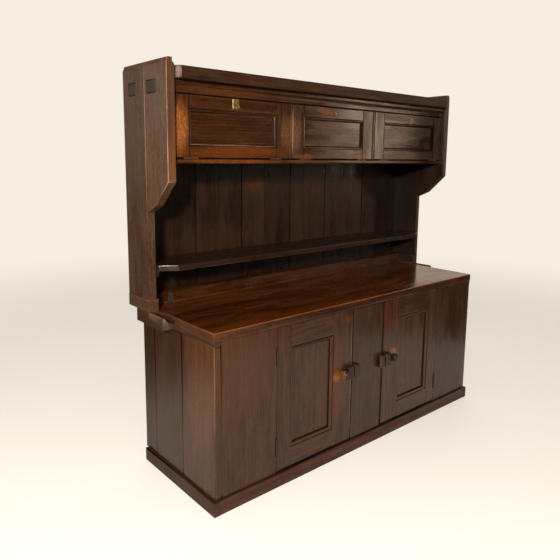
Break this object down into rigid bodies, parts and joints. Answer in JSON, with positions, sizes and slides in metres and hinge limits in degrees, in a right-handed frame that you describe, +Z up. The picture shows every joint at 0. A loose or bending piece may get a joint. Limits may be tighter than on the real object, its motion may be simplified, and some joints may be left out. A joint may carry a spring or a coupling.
{
  "type": "hutch cupboard",
  "caption": "Free-standing dark oak dresser: a plinth base with bolted doors carries an open hutch with a shelf, drop-flap cabinet and canted cornice.",
  "frame": {"origin": "on the floor, under the middle of the whole object's box", "axes": "+X to the right along the front, +Y to the back, +Z up; the doors face -Y"},
  "size_m": [2.022, 0.681, 1.902],
  "materials": {
    "stained_oak": "dark stain, waxed",
    "polished_oak": "dark stain, polished",
    "aged_brass": "aged, dull",
    "black_iron": "oiled, dark"
  },
  "bodies": {
    "carcass": {"plinth_ends": "stained_oak", "plinth_front": "stained_oak", "plinth_back": "stained_oak", "left_side_boards": "stained_oak", "right_side_boards": "stained_oak", "base_top": "polished_oak", "base_bottom": "stained_oak", "base_back_boards": "stained_oak", "head_rail": "stained_oak", "base_partition": "stained_oak", "base_shelves": "stained_oak", "shelf_cleats": "stained_oak", "centre_stile": "stained_oak", "left_front_board": "stained_oak", "right_front_board": "stained_oak", "door_hinge_butts": "black_iron", "bolt_keepers": "stained_oak", "left_bearer": "stained_oak", "right_bearer": "stained_oak", "left_foot": "stained_oak", "right_foot": "stained_oak", "left_wing_board": "stained_oak", "right_wing_board": "stained_oak", "left_rear_board": "stained_oak", "right_rear_board": "stained_oak", "hutch_sill": "stained_oak", "front_top_beam": "stained_oak", "rear_top_beam": "stained_oak", "hutch_back_boards": "stained_oak", "hutch_shelf": "stained_oak", "cabinet_bottom": "stained_oak", "cabinet_top": "stained_oak", "cabinet_dividers": "stained_oak", "frieze": "stained_oak", "cornice": "stained_oak", "flap_hinge_butts": "black_iron", "tie_plates": "black_iron"},
    "left_door": {"left_door_frame": "stained_oak", "left_door_panel": "stained_oak", "left_door_hinge_leaves": "black_iron", "left_bolt_guide": "stained_oak"},
    "left_sliding_bolt": {"left_bolt": "stained_oak"},
    "right_door": {"right_door_frame": "stained_oak", "right_door_panel": "stained_oak", "right_door_hinge_leaves": "black_iron", "right_bolt_guide": "stained_oak"},
    "right_sliding_bolt": {"right_bolt": "stained_oak"},
    "left_flap": {"left_flap_frame": "stained_oak", "left_flap_panel": "stained_oak", "left_flap_hinge_leaves": "black_iron", "left_flap_lock_plate": "aged_brass"},
    "centre_flap": {"centre_flap_frame": "stained_oak", "centre_flap_panel": "stained_oak", "centre_flap_hinge_leaves": "black_iron", "centre_flap_escutcheon": "aged_brass"},
    "right_flap": {"right_flap_frame": "stained_oak", "right_flap_panel": "stained_oak", "right_flap_hinge_leaves": "black_iron", "right_flap_escutcheon": "aged_brass"},
    "drop_ring": {"lock_ring": "aged_brass"}
  },
  "joints": [
    {"name": "left_door_hinge", "type": "hinge", "parent": "carcass", "child": "left_door", "pos_m": [-0.61575, -0.302, 0.417], "axis": [0, 0, -1], "range_deg": [0, 170]},
    {"name": "left_bolt_slide", "type": "slide", "parent": "left_door", "child": "left_sliding_bolt", "axis": [1, 0, 0], "range_m": [0, 0.016]},
    {"name": "right_door_hinge", "type": "hinge", "parent": "carcass", "child": "right_door", "pos_m": [0.61575, -0.302, 0.417], "axis": [0, 0, 1], "range_deg": [0, 170]},
    {"name": "right_bolt_slide", "type": "slide", "parent": "right_door", "child": "right_sliding_bolt", "axis": [-1, 0, 0], "range_m": [0, 0.016]},
    {"name": "left_flap_hinge", "type": "hinge", "parent": "carcass", "child": "left_flap", "pos_m": [0, -0.032, 1.498], "axis": [1, 0, 0], "range_deg": [0, 175]},
    {"name": "centre_flap_hinge", "type": "hinge", "parent": "carcass", "child": "centre_flap", "pos_m": [0, -0.032, 1.498], "axis": [1, 0, 0], "range_deg": [0, 175]},
    {"name": "right_flap_hinge", "type": "hinge", "parent": "carcass", "child": "right_flap", "pos_m": [0, -0.032, 1.498], "axis": [1, 0, 0], "range_deg": [0, 175]},
    {"name": "drop_ring_swing", "type": "hinge", "parent": "left_flap", "child": "drop_ring", "pos_m": [-0.63875, -0.038, 1.736], "axis": [-1, 0, 0], "range_deg": [0, 90]}
  ]
}
